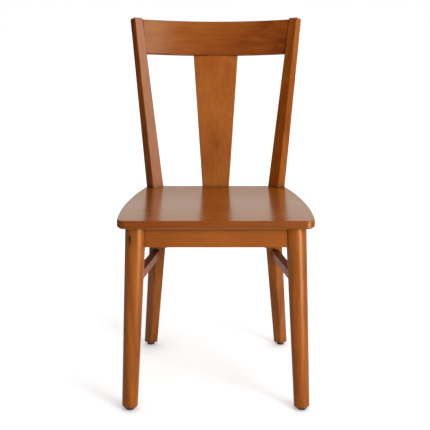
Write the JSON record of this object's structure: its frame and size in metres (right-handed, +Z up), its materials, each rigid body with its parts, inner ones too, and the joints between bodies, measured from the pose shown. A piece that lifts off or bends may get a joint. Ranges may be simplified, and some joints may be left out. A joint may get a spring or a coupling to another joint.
{
  "type": "dining chair",
  "caption": "Wooden dining chair with a board seat, round tapered front legs, bent rear posts, a curved crest rail and a tapered back splat.",
  "frame": {"origin": "on the floor under the middle of the chair's overall outline", "axes": "+Z up, -Y towards the chair's front, +X to the right when looking at the front"},
  "size_m": [0.4442, 0.5467, 0.8863],
  "materials": {
    "stained_wood": "satin",
    "plain_wood": "matte",
    "glide_plastic": "matte",
    "steel": "satin"
  },
  "bodies": {
    "root": {"seat_board": "stained_wood", "front_leg_left": "stained_wood", "front_leg_right": "stained_wood", "rear_post_left": "stained_wood", "rear_post_right": "stained_wood", "crest_rail": "stained_wood", "back_splat": "stained_wood", "front_apron": "stained_wood", "rear_apron": "stained_wood", "side_apron_left": "stained_wood", "side_apron_right": "stained_wood", "side_stretcher_left": "stained_wood", "side_stretcher_right": "stained_wood", "rear_stretcher": "stained_wood", "corner_block_front_left": "plain_wood", "corner_block_front_right": "plain_wood", "corner_block_rear_left": "plain_wood", "corner_block_rear_right": "plain_wood", "seat_screws": "steel", "crest_tenons": "plain_wood", "glides": "glide_plastic"}
  },
  "joints": []
}
